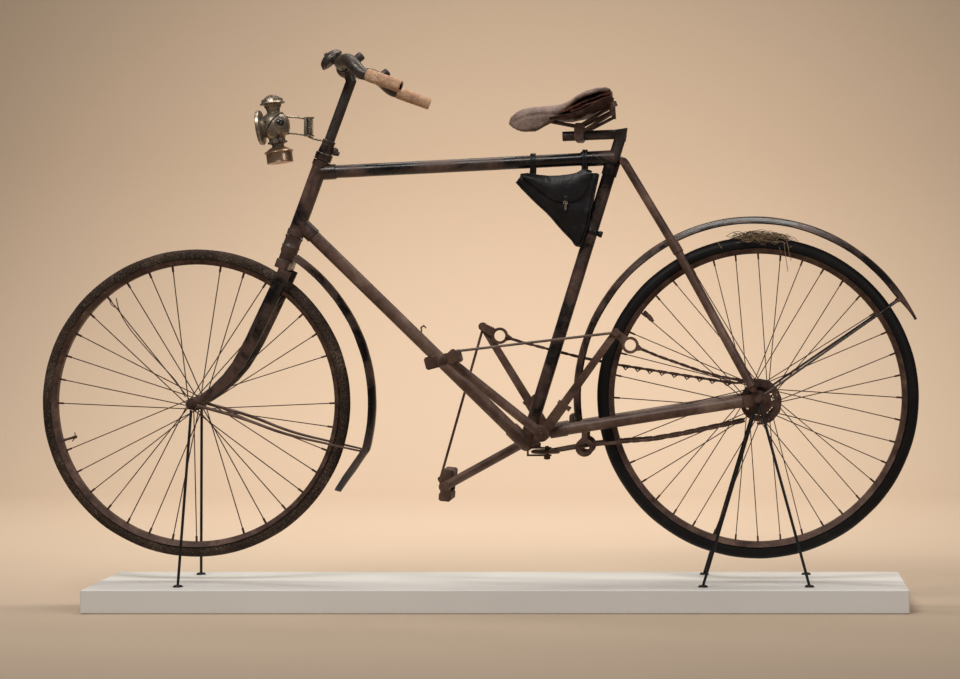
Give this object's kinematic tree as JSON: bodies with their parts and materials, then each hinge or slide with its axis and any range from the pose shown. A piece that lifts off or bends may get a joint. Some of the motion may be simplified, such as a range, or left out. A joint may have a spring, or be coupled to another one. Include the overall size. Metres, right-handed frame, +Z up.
{
  "type": "lever-driven safety bicycle on a display plinth",
  "caption": "Antique bicycle with a diamond frame, driven by swinging treadle levers and chains, held on a white plinth by thin struts.",
  "frame": {"origin": "centre of the plinth's underside, on the floor", "axes": "+Z up; the bicycle faces -X and its left side is -Y"},
  "size_m": [1.8834, 0.4852, 1.1885],
  "materials": {
    "white_board": "satin white paint",
    "black_rod": "satin black",
    "worn_enamel": "worn black enamel with rust",
    "rusty_steel": "brown rust",
    "worn_nickel": "worn nickel plate",
    "old_brass": "tarnished",
    "front_rubber": "perished",
    "rear_rubber": "matt",
    "pedal_rubber": "worn",
    "saddle_leather": "dry and cracked",
    "bag_leather": "dry and creased",
    "cork": "worn cork",
    "lamp_glass": "dusty"
  },
  "bodies": {
    "root": {"plinth": "white_board", "front_struts": "black_rod", "rear_struts": "black_rod", "head_tube": "worn_enamel", "top_tube": "worn_enamel", "down_tube": "worn_enamel", "seat_tube": "worn_enamel", "bottom_bracket": "worn_enamel", "chain_stays": "worn_enamel", "seat_stays": "worn_enamel", "rear_axle": "rusty_steel", "chain_drums": "rusty_steel", "left_upper_chain": "rusty_steel", "right_upper_chain": "rusty_steel", "lower_chain": "rusty_steel", "chain_guides": "rusty_steel", "reversing_pulley": "rusty_steel", "seat_pin": "worn_nickel", "saddle_frame": "rusty_steel", "saddle_leather": "saddle_leather", "tool_bag": "bag_leather", "bag_straps": "bag_leather", "rear_mudguard": "worn_enamel", "rear_mudguard_stays": "worn_enamel"},
    "steering": {"fork": "worn_enamel", "headset_nuts": "worn_nickel", "stem": "worn_nickel", "handlebar": "worn_nickel", "grips": "cork", "bell": "worn_nickel", "lamp_body": "old_brass", "lamp_front": "lamp_glass", "lamp_bracket": "worn_nickel", "front_axle": "rusty_steel", "front_mudguard": "worn_enamel", "front_mudguard_stays": "worn_enamel"},
    "front_wheel": {"front_tyre": "front_rubber", "front_rim": "rusty_steel", "front_hub": "rusty_steel"},
    "rear_wheel": {"rear_tyre": "rear_rubber", "rear_rim": "rusty_steel", "rear_hub": "rusty_steel"},
    "left_lever": {"left_lever": "worn_enamel", "left_tie_rod": "worn_enamel", "left_stirrup": "rusty_steel"},
    "left_pedal": {"left_pedal_frame": "rusty_steel", "left_pedal_rubbers": "pedal_rubber"},
    "right_lever": {"right_lever": "worn_enamel", "right_tie_rod": "worn_enamel", "right_stirrup": "rusty_steel"},
    "right_pedal": {"right_pedal_frame": "rusty_steel", "right_pedal_rubbers": "pedal_rubber"}
  },
  "joints": [
    {"name": "steering_turn", "type": "hinge", "parent": "root", "child": "steering", "pos_m": [-0.3859, 0, 0.9561], "axis": [0.342, 0, 0.9397], "range_deg": [-12, 12]},
    {"name": "front_wheel_spin", "type": "hinge", "parent": "steering", "child": "front_wheel", "pos_m": [-0.657, 0, 0.4317], "axis": [0, 1, 0], "continuous": true},
    {"name": "rear_wheel_spin", "type": "hinge", "parent": "root", "child": "rear_wheel", "pos_m": [0.55, 0, 0.4435], "axis": [0, 1, 0], "continuous": true},
    {"name": "left_lever_swing", "type": "hinge", "parent": "root", "child": "left_lever", "pos_m": [0.0912, 0, 0.3698], "axis": [0, -1, 0], "range_deg": [0, 67.5]},
    {"name": "right_lever_swing", "type": "hinge", "parent": "root", "child": "right_lever", "pos_m": [0.0912, 0, 0.3698], "axis": [0, -1, 0], "range_deg": [-67.5, 0]},
    {"name": "left_pedal_spin", "type": "hinge", "parent": "left_lever", "child": "left_pedal", "pos_m": [-0.10887, 0, 0.52951], "axis": [0, 1, 0], "continuous": true},
    {"name": "right_pedal_spin", "type": "hinge", "parent": "right_lever", "child": "right_pedal", "pos_m": [-0.13292, 0, 0.24608], "axis": [0, 1, 0], "continuous": true}
  ],
  "couplings": [
    {"joint": "right_lever_swing", "follows": "left_lever_swing", "ratio": -1}
  ]
}
